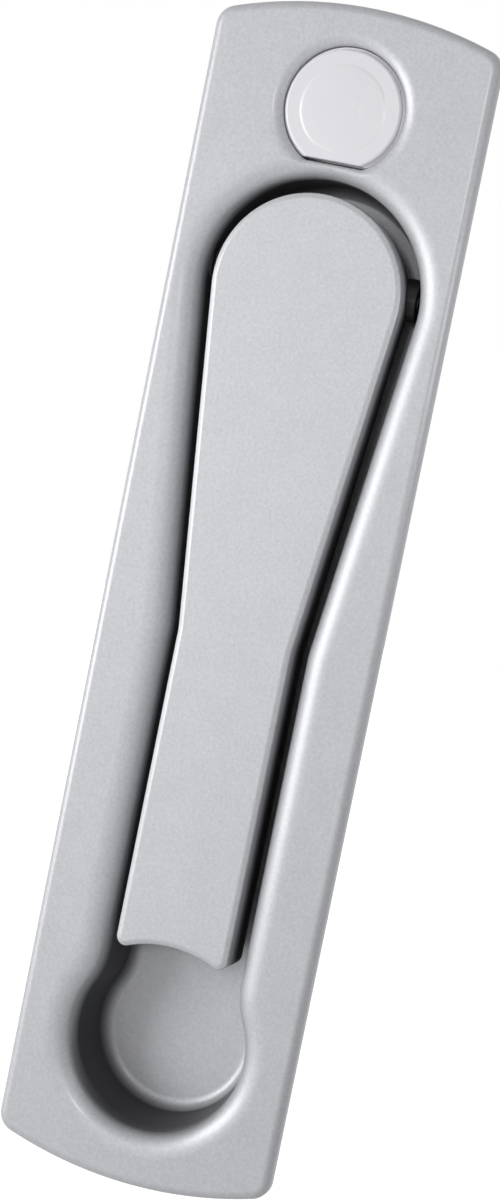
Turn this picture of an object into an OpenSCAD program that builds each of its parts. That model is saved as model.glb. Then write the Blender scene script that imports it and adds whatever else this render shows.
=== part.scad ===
// Concealed cabinet handle: a flush plate with a sunk tub, a lever that lifts out of the tub on a
// cross pin, and a push button that draws a spring bolt behind the plate.
// Drawn lying in plate terms: x across, y along towards the button, z out of the face, z = 0 on the face.

/* [Plate] */
// Width of the plate
plate_w = 42; // [40:0.5:48]
// Length of the plate
plate_l = 171.5; // [169:0.5:180]
// Radius of the bowed ends
plate_end_r = 62.4; // [50:0.5:120]
// Radius of the four corners
plate_corner_r = 3; // [1:0.25:5]
// Thickness of the flange that lies on the door
flange_t = 3.2; // [2.8:0.1:3.5]
// Wall of the tub, at its sides and floor
tub_wall = 1.8; // [1.4:0.1:2]
// Depth of the tub floor below the face
tub_depth = 12.5; // [12:0.1:14]
// Radius of the rolled shoulder around the tub mouth
shoulder_r = 3.6; // [3.3:0.1:3.9]
// Radius between tub wall and floor, inside
floor_r = 1.8; // [1:0.1:3.8]
// Radius between tub wall and floor, outside
tub_bend_r = 5.6; // [5:0.1:6]
// How far the tub wall leans in from shoulder to floor
tub_draft = 0.3; // [0:0.1:0.6]

/* [Finger dish] */
// Distance of the dish's centre from the lower end of the plate
dish_inset = 21.25; // [20:0.25:22.5]
// Radius of the dish wall
dish_r = 13.2; // [12.5:0.1:14]
// How far the dish wall leans in more than the tub wall
dish_lean = 1; // [0:0.1:1.2]
// Distance above the lever's tail at which that lean starts
lean_from = 4; // [2:0.5:8]
// Length over which it comes in
lean_run = 12; // [8:0.5:16]
// Radius that leads the channel into the dish
flare_r = 12; // [8:0.5:16]

/* [Lever] */
// Width of the flange beside the tub, at the lever's head
flange_land = 2.9; // [2.8:0.1:3.4]
// Half width of the grip
grip_half = 8.5; // [7.9:0.1:8.9]
// Length of the taper, from the head's centre to the grip
taper_l = 50.3; // [40:0.1:58]
// Radius at the end of the taper
taper_r = 12; // [8:0.5:20]
// Distance of the hollowed tail from the dish's centre
tail_reach = 14.3; // [12.5:0.1:16.5]
// Radius of the hollowed tail
tail_r = 16.5; // [14:0.5:24]
// Height of the lever face above the plate face
lever_proud = 0.6; // [0.2:0.1:0.9]
// Depth of the lever's skirt below the plate face
skirt_depth = 7.4; // [6.5:0.1:7.7]
// Thickness of the lever's top
lever_top_t = 1.8; // [1.4:0.1:2]
// Thickness of the lever's skirt
skirt_t = 1.8; // [1.4:0.1:2.2]
// Rounding of the lever's upper edge
lever_edge_r = 1; // [0.5:0.1:1.2]
// Space between the lever's head and the tub wall, where the nose swings
lever_gap = 2.6; // [2.5:0.1:3]
// Space between the lever's grip and the tub wall
channel_gap = 2; // [1.8:0.1:2.6]
// Thickness of the lever at its nose, above the relief that lets it swing
nose_t = 2.2; // [1.9:0.1:2.4]
// How far behind the head's centre that relief starts
relief_back = 1; // [0.5:0.1:1.5]
// Thickness of each cross rib under the grip
rib_t = 2.4; // [1.6:0.1:4]
// Distance of the lower cross rib from the tail
rib_from_tail = 16.2; // [12:0.1:20]
// Distance of the upper cross rib from the end of the taper
rib_from_taper = 11; // [6:0.1:16]

/* [Lever hinge] */
// Distance of the hinge pin from the head's centre, towards the button
pin_ahead = 1.7; // [1.4:0.1:2]
// Depth of the hinge pin below the face
pin_depth = 6.5; // [6.3:0.1:6.7]
// Radius of the hinge pin
pin_r = 1.5; // [1.3:0.05:1.6]
// Radial play of the pin in its bores
pin_play = 0.05; // [0.02:0.01:0.09]
// Wall of the bushes
bush_wall = 0.8; // [0.6:0.05:0.9]
// Radius of the bush flange and of the pin boss
boss_r = 3.2; // [3:0.1:3.2]
// Distance of each lever lug inside the head's edge
lug_inset = 1.4; // [1.2:0.1:2.2]
// Width of each lever lug
lug_w = 3.8; // [3:0.1:4.6]
// How far each pin boss stands into the tub
boss_stand = 1.1; // [1:0.1:1.4]
// Length of each pin boss
boss_l = 2.8; // [2.4:0.1:3]
// Wire of the lever spring
lever_wire = 0.6; // [0.5:0.05:0.7]
// Turns of the lever spring
lever_turns = 8; // [6:1:10]
// Length of the lever spring's legs along the lever
lever_leg = 14; // [10:0.5:18]
// Radius of the stop pads
pad_r = 3; // [2:0.1:4]

/* [Button] */
// Distance of the button's axis from the upper end of the plate
button_inset = 14.55; // [14.2:0.05:15.2]
// Radius of the button hole
button_hole_r = 8.9; // [8.7:0.05:9.1]
// Distance of the flat from the button's axis, on the hole
button_flat = 7.8; // [7.6:0.1:7.9]
// Width of the gap that shows around the button
button_gap = 0.5; // [0.4:0.05:0.9]
// Play of the button's skirt in its guide
button_play = 0.3; // [0.2:0.05:0.4]
// Radius of the raised disc on the button
button_disc_r = 6; // [4.5:0.1:6.5]
// Height of the raised disc
button_disc_h = 0.4; // [0.2:0.1:1.2]
// How far the button's rim lies below the face
button_sunk = 0.2; // [0:0.1:0.6]
// How far the button goes in
button_travel = 4; // [3.5:0.1:4]
// Wall of the guide around the button
guide_wall = 1.6; // [1.2:0.1:1.7]
// Length of the guide behind the flange
guide_h = 4.5; // [3.5:0.1:4.6]
// Thickness of the flange that keeps the button in its guide
button_flange_t = 1; // [0.8:0.1:1.2]
// Wire of the button springs
button_wire = 0.5; // [0.4:0.05:0.6]
// Outer radius of the button springs
button_spring_r = 1.9; // [1.6:0.05:2]
// Place of each button spring from the button's axis
button_spring_y = 5; // [4.9:0.05:5.1]
// Turns of each button spring
button_turns = 8; // [6:1:9]

/* [Latch] */
// How far the bolt goes back for each millimetre of the button
bolt_ratio = 1.5; // [1.4:0.05:1.5]
// Half width of the bolt
bolt_half = 5; // [4.6:0.1:5.1]
// Thickness of the bolt
bolt_t = 4; // [3.8:0.1:4.4]
// How far the bolt stands out of its case
bolt_out = 6.5; // [6.3:0.1:7]
// Flat that is left at the bevelled tip of the bolt
bolt_tip = 1.4; // [1:0.1:2]
// Running space around the bolt
bolt_play = 0.1; // [0.06:0.02:0.16]
// Tail of the bolt, from the centre
bolt_tail = 2; // [1.8:0.1:2.2]
// How far the wedge reaches into the bolt
wedge_bite = 1.8; // [1.5:0.1:2.2]
// Left edge of the wedge at its root, from the centre
wedge_x = 1; // [0.8:0.1:1.2]
// Thickness of the wedge, measured along the bolt
wedge_w = 5; // [4.4:0.1:5.2]
// Thickness of the wedge, across the bolt
wedge_t = 4; // [3.4:0.1:4.2]
// Space between the wedge and its slots
wedge_play = 0.3; // [0.2:0.05:0.4]
// Sheet of the button seat
seat_t = 1.2; // [1:0.1:1.4]
// Wall of the latch case
case_wall = 1.2; // [1:0.1:1.2]
// Wall of the liner in the case's mouth
liner_t = 0.5; // [0.4:0.05:0.6]
// Left face of the latch case, from the centre
case_left = 19; // [18.6:0.1:19.4]
// Right face of the latch case, from the centre
case_right = 14.5; // [14.2:0.1:15]
// Sheet of the case's ears
ear_t = 1; // [0.8:0.1:1.2]
// Radius of the posts that carry the case
post_r = 2.3; // [2.1:0.05:2.35]
// Half distance between the two posts at the tub
post_x_tub = 12.8; // [12.6:0.1:13]
// Half distance between the two posts at the plate's end
post_x_end = 10; // [9.8:0.1:10.2]
// Distance of the posts at the tub from the button's axis
post_to_tub = 9; // [8.8:0.1:9.2]
// Distance of the posts at the plate's end from the button's axis
post_to_end = 8.8; // [8.7:0.1:8.9]
// Radius of the case screws
screw_r = 1.2; // [1:0.05:1.25]
// Radius of the case screws' heads
screw_head_r = 2.1; // [1.9:0.05:2.15]
// Height of the case screws' heads
screw_head_h = 1.5; // [1.2:0.1:1.8]
// Thickness of the case screws' washers
washer_t = 0.4; // [0.3:0.05:0.6]
// Width of the slots in the screw heads
slot_w = 0.5; // [0.4:0.05:0.6]
// Length of the slots in the screw heads
slot_l = 2.6; // [2:0.1:3]
// Metal that is left between a screw's tip and the flange
screw_land = 1; // [0.6:0.1:1.5]
// Thickness of the clip on the bolt's rod
clip_t = 0.6; // [0.4:0.1:0.8]
// Radius of the rod behind the bolt
rod_r = 0.9; // [0.7:0.05:1]
// Depth of the rod's seat in the bolt
rod_seat = 2.5; // [2:0.1:2.8]
// Length of rod past its clip
rod_tip = 0.8; // [0.5:0.1:1]
// Wire of the bolt spring
bolt_wire = 0.5; // [0.4:0.05:0.55]
// Mean radius of the bolt spring
bolt_spring_r = 1.5; // [1.4:0.05:1.6]
// Turns of the bolt spring
bolt_turns = 8; // [6:1:9]

/* [Fixing] */
// Half distance between the two fixing bosses
boss_half = 28; // [22:0.5:30]
// Radius of the fixing bosses
fix_boss_r = 4.2; // [3.6:0.1:5]
// Width of the spine that joins the fixing bosses
spine_w = 3; // [2:0.1:4]
// Height of the spine behind the tub
spine_h = 1.6; // [1:0.1:2.4]
// Height of the fixing bosses behind the tub
fix_boss_h = 4.7; // [3.5:0.1:7]
// Radius of the tapped fixing holes
fix_hole_r = 1.65; // [1.3:0.05:2.1]
// Thickness of the door gasket
gasket_t = 1.2; // [0.8:0.1:2]
// Width of the door gasket
gasket_w = 1.9; // [1.4:0.1:2]
// Distance of the gasket from the plate's edge
gasket_inset = 0.5; // [0.3:0.1:0.7]

/* [Hidden] */
$fn = 64;
// Small overlap that joins or cuts cleanly
over = 0.5;
// Gap between faces of one body that only meet
seat_gap = 0.02;
// Rest gap between pieces that meet softly
soft_gap = 0.3;
// Play of a clip in its groove and beside its boss
clip_play = 0.1;
// Space between a spring and the bore or pin beside it
spring_play = 0.2;
// Clip: outer radius and half width of the mouth, for a groove of radius 1
clip_wide = 2;
clip_mouth = 0.8;
// Depth of the clip's groove
groove_depth = 0.2;
// Facets of the spring wire: steps in each turn, and sides
coil_steps = 14;
coil_sides = 6;
// Steps along each arc of the outlines
head_steps = 18;
bend_steps = 3;
dish_steps = 12;
tail_steps = 8;
round_steps = 5;

// Places along the plate, from its two ends: the tub's wall stands between button hole and head
button_y = plate_l / 2 - button_inset;
head_r = plate_w / 2 - flange_land - tub_wall - lever_gap;
head_y = button_y - button_flat - tub_wall - lever_gap - head_r;
pin_y = head_y + pin_ahead;
taper_end_y = head_y - taper_l;
dish_y = dish_inset - plate_l / 2;
tail_y = dish_y + tail_reach;
rib_ys = [tail_y + rib_from_tail, taper_end_y + rib_from_taper];
post_xs = [post_x_tub, post_x_end];
post_ys = [button_y - post_to_tub, button_y + post_to_end];

// Places along the hinge pin, from the centre
lug_out = head_r - lug_inset;
lug_in = lug_out - lug_w;
boss_in = head_r + lever_gap - boss_stand;
boss_out = boss_in + boss_l;

// Channel into the dish: centre of the flare, and where it meets the dish
channel_half = grip_half + channel_gap;
flare_cx = channel_half + flare_r;
flare_cy = dish_y + sqrt(pow(dish_r + flare_r, 2) - pow(flare_cx, 2));
flare_a = atan2(flare_cy - dish_y, flare_cx);

// Plate outline: centres of the end arcs and of the corners
end_cy = plate_l / 2 - plate_end_r;
corner_cx = plate_w / 2 - plate_corner_r;
corner_cy = end_cy + sqrt(pow(plate_end_r - plate_corner_r, 2) - pow(corner_cx, 2));
corner_a = atan2(corner_cy - end_cy, corner_cx);

// Depths behind the face, all negative
tub_back = -tub_depth - tub_wall;
fix_face = tub_back - fix_boss_h;
guide_back = -flange_t - guide_h;
button_back = guide_back - soft_gap - button_flange_t;
seat_front = button_back - button_travel - soft_gap;
seat_back = seat_front - seat_t;
bolt_front = seat_back - bolt_play;
bolt_back = bolt_front - bolt_t;
case_inner = bolt_back - bolt_play;
case_back = case_inner - case_wall;
ear_back = seat_back - ear_t;
head_front = ear_back - washer_t;

// Latch along the bolt: the wedge leans with the bolt's ratio
wedge_bottom = bolt_front - wedge_bite;
bolt_travel = button_travel * bolt_ratio;
bolt_nose = -case_left - bolt_out;
bolt_mid = (bolt_front + bolt_back) / 2;
case_in_half = bolt_half + soft_gap;
rod_end = case_right + clip_play + clip_t + rod_tip;

function flip(half) = [for (i = [len(half) - 2 : -1 : 1]) [-half[i][0], half[i][1]]];
function ring(half) = concat(half, flip(half));
function lift(pts, z) = [for (p = pts) [p[0], p[1], z]];

// Right half of a head of radius r that tapers to half width w through an arc of radius t, d outside it
function side(r, w, t, d) =
    let (turn = acos(r / norm([w, taper_l])) - atan2(taper_l, w),
        cx = w + t,
        cy = (head_y * sin(turn) + r + t - cx * cos(turn)) / sin(turn))
    concat(
        [for (i = [0 : head_steps]) let (a = 90 - (90 - turn) * i / head_steps)
            [(r + d) * cos(a), head_y + (r + d) * sin(a)]],
        [for (i = [0 : bend_steps]) let (a = turn * (1 - i / bend_steps))
            [cx - (t - d) * cos(a), cy - (t - d) * sin(a)]]);

function lever_outline(d) = ring(concat(side(head_r, grip_half, taper_r, d),
    [for (i = [0 : tail_steps]) let (x = (grip_half + d) * (1 - i / tail_steps))
        [x, tail_y - tail_r + sqrt(pow(tail_r - d, 2) - x * x)]]));

function tub_outline(d) = ring(concat(side(head_r + lever_gap, channel_half, taper_r, d),
    [for (i = [0 : bend_steps]) let (a = 180 + flare_a * i / bend_steps)
        [flare_cx + (flare_r - d) * cos(a), flare_cy + (flare_r - d) * sin(a)]],
    [for (i = [1 : dish_steps]) let (a = flare_a - (90 + flare_a) * i / dish_steps)
        [(dish_r + d) * cos(a), dish_y + (dish_r + d) * sin(a)]]));

function plate_quarter(d) = concat(
    [for (i = [0 : tail_steps]) let (a = 90 - (90 - corner_a) * i / tail_steps)
        [(plate_end_r + d) * cos(a), end_cy + (plate_end_r + d) * sin(a)]],
    [for (i = [1 : round_steps]) let (a = corner_a * (1 - i / round_steps))
        [corner_cx + (plate_corner_r + d) * cos(a), corner_cy + (plate_corner_r + d) * sin(a)]]);

function plate_outline(d) = let (q = plate_quarter(d), n = len(q))
    ring(concat(q, [for (i = [n - 1 : -1 : 0]) [q[i][0], -q[i][1]]]));

// Solid through a stack of rings, the highest first
module skin(rings) {
    n = len(rings[0]);
    m = len(rings);
    points = [for (r = rings) for (p = r) p];
    walls = [for (k = [0 : m - 2]) for (i = [0 : n - 1]) let (j = (i + 1) % n)
        each [[k * n + j, k * n + i, (k + 1) * n + i], [k * n + j, (k + 1) * n + i, (k + 1) * n + j]]];
    top = [for (i = [0 : n - 1]) i];
    bottom = [for (i = [n - 1 : -1 : 0]) (m - 1) * n + i];
    polyhedron(points, concat([top], walls, [bottom]));
}

// Round wire wound about z from z = 0, as high as length, with a straight leg on each end if given
module coil(mean_r, wire, turns, length, start_a = 0, legs = []) {
    steps = turns * coil_steps;
    sides = coil_sides;
    rise = (length - wire) / steps;
    turns_rings = [for (k = [steps : -1 : 0]) let (a = start_a - k * 360 * turns / steps)
        [for (s = [0 : sides - 1]) let (t = s * 360 / sides, r = mean_r + wire / 2 * cos(t))
            [r * cos(a), r * sin(a), wire / 2 + k * rise + wire / 2 * sin(t)]]];
    far_leg = [for (v = legs) [for (p = turns_rings[0]) p + v[1]]];
    near_leg = [for (v = legs) [for (p = turns_rings[steps]) p + v[0]]];
    skin(concat(far_leg, turns_rings, near_leg));
}

module along_x(x, y, z) {
    translate([x, y, z]) rotate([0, 90, 0]) children();
}

module at_posts() {
    for (i = [0, 1], s = [-1, 1]) translate([s * post_xs[i], post_ys[i], 0]) children();
}

// Round with one flat on the tub side
module flatted(r, flat, z0, z1) {
    difference() {
        translate([0, button_y, z0]) cylinder(r = r, h = z1 - z0);
        translate([-2 * r, button_y - flat - 2 * r, z0 - over])
            cube([4 * r, 2 * r, z1 - z0 + 2 * over]);
    }
}

module slab(x0, x1, y0, y1, z0, z1) {
    translate([x0, y0, z0]) cube([x1 - x0, y1 - y0, z1 - z0]);
}

// Block that leans with the wedge: its left edge is at x when z is at the wedge's root
module leaning(x, w, t, z0, z1) {
    root = button_back;
    translate([0, button_y + t / 2, 0]) rotate([90, 0, 0]) linear_extrude(t)
        polygon([[x + (z0 - root) * bolt_ratio, z0], [x + w + (z0 - root) * bolt_ratio, z0],
            [x + w + (z1 - root) * bolt_ratio, z1], [x + (z1 - root) * bolt_ratio, z1]]);
}

// From plate terms to the door's: z up along the plate, face towards -Y, origin between the fixing bosses
module placed() {
    rotate([90, 0, 0]) translate([0, 0, -fix_face]) children();
}

// Outline near the floor, d outside the tub's edge: the dish's part lies further in, from the tail on
function foot_outline(d) =
    let (a = tub_outline(d), b = tub_outline(d - dish_lean))
    [for (i = [0 : len(a) - 1])
        let (t = min(max((tail_y + lean_from - a[i][1]) / lean_run, 0), 1), w = t * t * (3 - 2 * t))
        a[i] * (1 - w) + b[i] * w];

module tub_hollow() {
    turn = tub_depth - floor_r;
    skin(concat(
        [lift(tub_outline(shoulder_r), over)],
        [for (k = [0 : round_steps]) let (a = 90 * k / round_steps)
            lift(tub_outline(shoulder_r * (1 - sin(a))), -shoulder_r * (1 - cos(a)))],
        [for (k = [0 : round_steps]) let (a = 90 * k / round_steps)
            lift(foot_outline(-tub_draft - floor_r * (1 - cos(a))), -turn - floor_r * sin(a))]));
}

// The last facet of the bend runs on past the back and is cut off flat there
module tub_shell() {
    bend = tub_bend_r;
    turn = tub_depth + tub_wall - bend;
    foot = tub_wall - tub_draft - bend;
    last = 90 - 90 / round_steps;
    run = cos(last) / (1 - sin(last));
    difference() {
        skin(concat(
            [lift(tub_outline(tub_wall), -flange_t / 2)],
            [for (k = [0 : round_steps - 1]) let (a = 90 * k / round_steps)
                lift(tub_outline(foot + bend * cos(a)), -turn - bend * sin(a))],
            [lift(tub_outline(foot - run * over / 2), tub_back - over / 2)]));
        slab(-plate_w, plate_w, -plate_l, plate_l, tub_back - plate_w, tub_back);
    }
}

module face_plate() {
    color("silver") difference() {
        union() {
            difference() {
                union() {
                    translate([0, 0, -flange_t]) linear_extrude(flange_t) polygon(plate_outline(0));
                    tub_shell();
                    translate([0, button_y, guide_back])
                        cylinder(r = button_hole_r + guide_wall, h = guide_h + flange_t / 2);
                }
                tub_hollow();
            }
            for (s = [0, 1]) mirror([s, 0, 0])
                along_x(boss_in, pin_y, -pin_depth) cylinder(r = boss_r, h = boss_out - boss_in);
            at_posts() translate([0, 0, seat_front])
                cylinder(r = post_r, h = -seat_front - flange_t / 2);
            for (s = [-1, 1]) translate([0, s * boss_half, fix_face])
                cylinder(r = fix_boss_r, h = fix_boss_h + tub_wall / 2);
            slab(-spine_w / 2, spine_w / 2, -boss_half, boss_half, tub_back - spine_h, tub_back + tub_wall / 2);
        }
        flatted(button_hole_r, button_flat, guide_back - over, over);
        for (s = [0, 1]) mirror([s, 0, 0]) along_x(boss_in - over, pin_y, -pin_depth)
            cylinder(r = pin_r + seat_gap, h = boss_out - boss_in + 2 * over);
        at_posts() translate([0, 0, seat_front - over])
            cylinder(r = screw_r + pin_play, h = -seat_front - flange_t + over);
        for (s = [-1, 1]) translate([0, s * boss_half, fix_face - over])
            cylinder(r = fix_hole_r, h = fix_boss_h + over);
    }
}

module door_gasket() {
    color("dimgray") translate([0, 0, -flange_t - gasket_t]) linear_extrude(gasket_t) difference() {
        polygon(plate_outline(-gasket_inset));
        polygon(plate_outline(-gasket_inset - gasket_w));
    }
}

// Pressed into both bosses
module hinge_pin() {
    color("lightgray") along_x(-boss_out, pin_y, -pin_depth) cylinder(r = pin_r, h = 2 * boss_out);
}

// Open ring that snaps into a groove, its mouth towards +y
module clip(groove_r, t) {
    difference() {
        cylinder(r = groove_r * clip_wide, h = t);
        translate([0, 0, -over]) cylinder(r = groove_r + seat_gap, h = t + 2 * over);
        translate([-groove_r * clip_mouth, 0, -over])
            cube([2 * groove_r * clip_mouth, groove_r * clip_wide + over, t + 2 * over]);
    }
}

module lever() {
    top = lever_proud;
    under = top - lever_top_t;
    color("gainsboro") difference() {
        union() {
            difference() {
                skin(concat(
                    [for (k = [round_steps : -1 : 0]) let (a = 90 * k / round_steps)
                        lift(lever_outline(-lever_edge_r * (1 - cos(a))), top - lever_edge_r * (1 - sin(a)))],
                    [lift(lever_outline(0), -skirt_depth)]));
                difference() {
                    translate([0, 0, -skirt_depth - over]) linear_extrude(under + skirt_depth + over)
                        polygon(lever_outline(-skirt_t));
                    for (y = rib_ys) slab(-plate_w, plate_w, y - rib_t / 2, y + rib_t / 2, -skirt_depth, 0);
                }
                nose_relief();
            }
            for (s = [0, 1]) mirror([s, 0, 0]) lug(under);
        }
        for (s = [0, 1]) mirror([s, 0, 0]) {
            along_x(lug_in - over, pin_y, -pin_depth)
                cylinder(r = pin_r + pin_play + bush_wall + seat_gap, h = lug_out - lug_in + 2 * over);
            along_x(lug_out, pin_y, -pin_depth) cylinder(r = boss_r + soft_gap / 2, h = plate_w);
        }
    }
}

// Lug under the head, with a web up to the lever's top
module lug(under) {
    along_x(lug_in, pin_y, -pin_depth) cylinder(r = boss_r, h = lug_out - lug_in);
    slab(lug_in, lug_out - skirt_t / 2, pin_y - boss_r, pin_y + boss_r, -pin_depth, under + over);
}

// Takes the skirt off in a slope towards the nose, so that the nose clears the floor as the lever lifts
module nose_relief() {
    start_y = head_y - relief_back;
    nose_y = head_y + head_r;
    translate([-plate_w, 0, 0]) rotate([90, 0, 90]) linear_extrude(2 * plate_w)
        polygon([[start_y, -skirt_depth], [nose_y + over, lever_proud - nose_t],
            [nose_y + over, -skirt_depth - over], [start_y, -skirt_depth - over]]);
}

module lever_bush() {
    bore = pin_r + pin_play;
    color("dimgray") along_x(lug_in, pin_y, -pin_depth) difference() {
        union() {
            cylinder(r = bore + bush_wall, h = lug_out - lug_in + over);
            translate([0, 0, lug_out - lug_in + seat_gap])
                cylinder(r = boss_r - clip_play, h = boss_in - lug_out - clip_play - seat_gap);
        }
        translate([0, 0, -over]) cylinder(r = bore, h = boss_in - lug_in + 2 * over);
    }
}

module lever_bush_left() {
    mirror([1, 0, 0]) lever_bush();
}

module lever_bush_right() {
    lever_bush();
}

// One leg bears under the lever's top, the other reaches down to the tub floor
module lever_spring() {
    mean_r = pin_r + pin_play + lever_wire / 2 + spring_play;
    length = 2 * (lug_in - clip_play);
    drop = tub_depth - pin_depth - mean_r - lever_wire / 2 - clip_play;
    climb = pin_depth + lever_proud - lever_top_t - mean_r - lever_wire / 2 - clip_play;
    color("darkgray") along_x(-length / 2, pin_y, -pin_depth)
        coil(mean_r, lever_wire, lever_turns + 0.5, length, 180,
            [[[-climb, -lever_leg, 0], [drop, -lever_leg, 0]]]);
}

module stop_pads() {
    color("black") for (y = rib_ys) translate([0, y, -tub_depth])
        cylinder(r = pad_r, h = tub_depth - skirt_depth - soft_gap);
}

module release_button() {
    skirt_r = button_hole_r - button_play;
    skirt_flat = button_flat - button_play;
    cap_r = button_hole_r - button_gap;
    cap_flat = button_flat - button_gap;
    color("white") difference() {
        union() {
            flatted(cap_r, cap_flat, -flange_t, -button_sunk);
            flatted(skirt_r, skirt_flat, button_back, -flange_t);
            flatted(button_hole_r + guide_wall / 2, skirt_flat, button_back, button_back + button_flange_t);
            translate([0, button_y, -button_sunk - over]) cylinder(r = button_disc_r, h = button_disc_h + over);
        }
        for (s = [-1, 1]) translate([0, button_y + s * button_spring_y, button_back - over])
            cylinder(r = button_spring_r + spring_play, h = -flange_t - button_back + over);
        slab(wedge_x - seat_gap, wedge_x + wedge_w + seat_gap, button_y - wedge_t / 2 - seat_gap,
            button_y + wedge_t / 2 + seat_gap, button_back - over, -flange_t);
    }
}

module button_plunger() {
    color("lightgray") {
        slab(wedge_x, wedge_x + wedge_w, button_y - wedge_t / 2, button_y + wedge_t / 2,
            button_back, -flange_t - seat_gap);
        leaning(wedge_x, wedge_w, wedge_t, wedge_bottom, button_back);
    }
}

module button_springs() {
    color("darkgray") for (s = [-1, 1]) translate([0, button_y + s * button_spring_y, seat_front + seat_gap])
        coil(button_spring_r - button_wire / 2, button_wire, button_turns, -flange_t - seat_front - 2 * seat_gap);
}

// Sheet outline that rests on the posts, cut back where it would run under the tub
module ears(z0, z1) {
    at_posts() translate([0, 0, z0]) cylinder(r = post_r, h = z1 - z0);
    slab(-post_xs[0], post_xs[0], post_ys[0], post_ys[0] + post_r, z0, z1);
    slab(-post_xs[1], post_xs[1], post_ys[0], post_ys[1] + post_r, z0, z1);
}

module button_seat() {
    wide = bolt_ratio * (seat_front - button_back);
    color("silver") difference() {
        union() {
            ears(seat_back, seat_front);
            slab(-case_left, case_right, button_y - case_in_half - case_wall,
                button_y + case_in_half + case_wall, seat_back, seat_front);
        }
        at_posts() translate([0, 0, seat_back - over])
            cylinder(r = screw_r + pin_play, h = seat_t + 2 * over);
        slab(wedge_x + wide - seat_t * bolt_ratio - wedge_play,
            wedge_x + wedge_w + wide + bolt_travel + wedge_play,
            button_y - wedge_t / 2 - wedge_play, button_y + wedge_t / 2 + wedge_play,
            seat_back - over, seat_front + over);
    }
}

module latch_case() {
    wide = bolt_ratio * (case_inner - button_back);
    tip_x = wedge_x + bolt_ratio * (wedge_bottom - button_back);
    mouth = bolt_half + bolt_play + liner_t;
    color("silver") difference() {
        union() {
            ears(ear_back, seat_back);
            slab(-case_left, case_right, button_y - case_in_half - case_wall,
                button_y + case_in_half + case_wall, case_back, seat_back);
        }
        slab(-case_left + case_wall, case_right - case_wall, button_y - case_in_half,
            button_y + case_in_half, case_inner, seat_back + over);
        slab(-case_left - over, -case_left + case_wall + over, button_y - mouth, button_y + mouth,
            case_inner - liner_t / 2, seat_back + over);
        slab(tip_x - wedge_play,
            wedge_x + wedge_w + wide + bolt_travel + wedge_play,
            button_y - wedge_t / 2 - wedge_play, button_y + wedge_t / 2 + wedge_play,
            case_back - over, case_inner + over);
        along_x(case_right - case_wall - over, button_y, bolt_mid)
            cylinder(r = rod_r + bolt_play, h = case_wall + 2 * over);
        at_posts() translate([0, 0, ear_back - over])
            cylinder(r = screw_r + pin_play, h = ear_t + 2 * over);
    }
}

module case_screws() {
    grip = flange_t + screw_land;
    color("gray") at_posts() difference() {
        union() {
            translate([0, 0, head_front - screw_head_h]) cylinder(r = screw_head_r, h = screw_head_h);
            translate([0, 0, head_front - over]) cylinder(r = screw_r, h = -head_front - grip + over);
        }
        for (a = [0, 90]) rotate(a) slab(-slot_l / 2, slot_l / 2, -slot_w / 2, slot_w / 2,
            head_front - screw_head_h - over, head_front - screw_head_h / 2);
    }
}

module screw_washers() {
    color("silver") at_posts() translate([0, 0, head_front]) difference() {
        cylinder(r = post_r, h = washer_t);
        translate([0, 0, -over]) cylinder(r = screw_r + pin_play, h = washer_t + 2 * over);
    }
}

module bolt_liner() {
    half = bolt_half + bolt_play;
    color("ivory") difference() {
        slab(-case_left, -case_left + case_wall, button_y - half - liner_t, button_y + half + liner_t,
            case_inner - liner_t / 2, seat_back);
        slab(-case_left - over, -case_left + case_wall + over, button_y - half, button_y + half,
            bolt_back - bolt_play, seat_back + over);
    }
}

module latch_bolt() {
    bevel = bolt_t - bolt_tip;
    color("lightgray") difference() {
        translate([0, button_y + bolt_half, 0]) rotate([90, 0, 0]) linear_extrude(2 * bolt_half)
            polygon([[bolt_nose, bolt_front], [bolt_tail, bolt_front], [bolt_tail, bolt_back],
                [bolt_nose + bevel * bolt_ratio, bolt_back], [bolt_nose, bolt_front - bolt_tip]]);
        leaning(wedge_x - wedge_play, wedge_w + 2 * wedge_play, wedge_t + 2 * wedge_play,
            bolt_back - over, bolt_front + over);
        along_x(bolt_tail - rod_seat, button_y, bolt_mid) cylinder(r = rod_r + seat_gap, h = rod_seat + over);
    }
}

module bolt_rod() {
    groove_x = case_right + clip_play / 2;
    color("darkgray") difference() {
        along_x(bolt_tail - rod_seat, button_y, bolt_mid) cylinder(r = rod_r, h = rod_end - bolt_tail + rod_seat);
        along_x(groove_x, button_y, bolt_mid) difference() {
            cylinder(r = rod_r + over, h = clip_t + clip_play);
            translate([0, 0, -over]) cylinder(r = rod_r - groove_depth, h = clip_t + 2 * over);
        }
    }
}

module bolt_rod_clip() {
    color("gray") along_x(case_right + clip_play, button_y, bolt_mid) clip(rod_r - groove_depth, clip_t);
}

module bolt_spring() {
    color("darkgray") along_x(bolt_tail + seat_gap, button_y, bolt_mid)
        coil(bolt_spring_r, bolt_wire, bolt_turns, case_right - case_wall - bolt_tail - 2 * seat_gap);
}

placed() face_plate();
placed() door_gasket();
placed() hinge_pin();
placed() lever();
placed() lever_bush_left();
placed() lever_bush_right();
placed() lever_spring();
placed() stop_pads();
placed() release_button();
placed() button_plunger();
placed() button_springs();
placed() button_seat();
placed() latch_case();
placed() case_screws();
placed() screw_washers();
placed() bolt_liner();
placed() latch_bolt();
placed() bolt_rod();
placed() bolt_rod_clip();
placed() bolt_spring();
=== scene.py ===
import math

import bmesh
import bpy
import numpy as np
from mathutils import Matrix, Vector
from mathutils.geometry import delaunay_2d_cdt


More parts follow.
